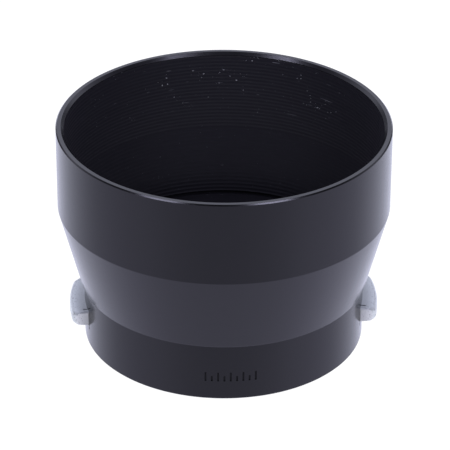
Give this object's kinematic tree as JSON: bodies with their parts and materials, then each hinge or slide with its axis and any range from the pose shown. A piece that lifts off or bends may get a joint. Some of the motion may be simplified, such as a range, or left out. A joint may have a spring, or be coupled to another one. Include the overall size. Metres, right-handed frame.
{
  "type": "lens hood",
  "caption": "Round black metal lens hood that clips on a lens rim, released by spring-loaded side buttons on its collar.",
  "frame": {"origin": "centre of the rear face that the hood stands on", "axes": "+Z out of the mouth along the optical axis; the two release buttons lie on the X axis"},
  "size_m": [0.0564, 0.0564, 0.0393],
  "materials": {
    "black_anodised": "satin black anodised",
    "black_sleeve": "matt black anodised",
    "satin_chrome": "satin chrome plated brass",
    "brass": "bright rolled",
    "steel": "ground"
  },
  "bodies": {
    "housing": {"hood_bell": "black_anodised", "mount_collar": "black_anodised", "lens_sleeve": "black_sleeve", "sleeve_screw_1": "steel", "sleeve_screw_2": "steel", "sleeve_screw_3": "steel", "sleeve_screw_4": "steel", "left_return_spring": "steel", "right_return_spring": "steel"},
    "left_clamp": {"left_button": "satin_chrome", "left_band": "brass", "left_band_claw": "steel", "left_button_rivet_1": "brass", "left_button_rivet_2": "brass", "left_claw_rivet_1": "brass", "left_claw_rivet_2": "brass"},
    "right_clamp": {"right_button": "satin_chrome", "right_band": "brass", "right_band_claw": "steel", "right_button_rivet_1": "brass", "right_button_rivet_2": "brass", "right_claw_rivet_1": "brass", "right_claw_rivet_2": "brass"}
  },
  "joints": [
    {"name": "left_button_press", "type": "slide", "parent": "housing", "child": "left_clamp", "axis": [1, 0, 0], "range_m": [0, 0.0008], "stiffness_N_per_m": 600, "springref_m": -0.002, "deforming": ["left_return_spring"]},
    {"name": "right_button_press", "type": "slide", "parent": "housing", "child": "right_clamp", "axis": [-1, 0, 0], "range_m": [0, 0.0008], "stiffness_N_per_m": 600, "springref_m": -0.002, "deforming": ["right_return_spring"]}
  ]
}
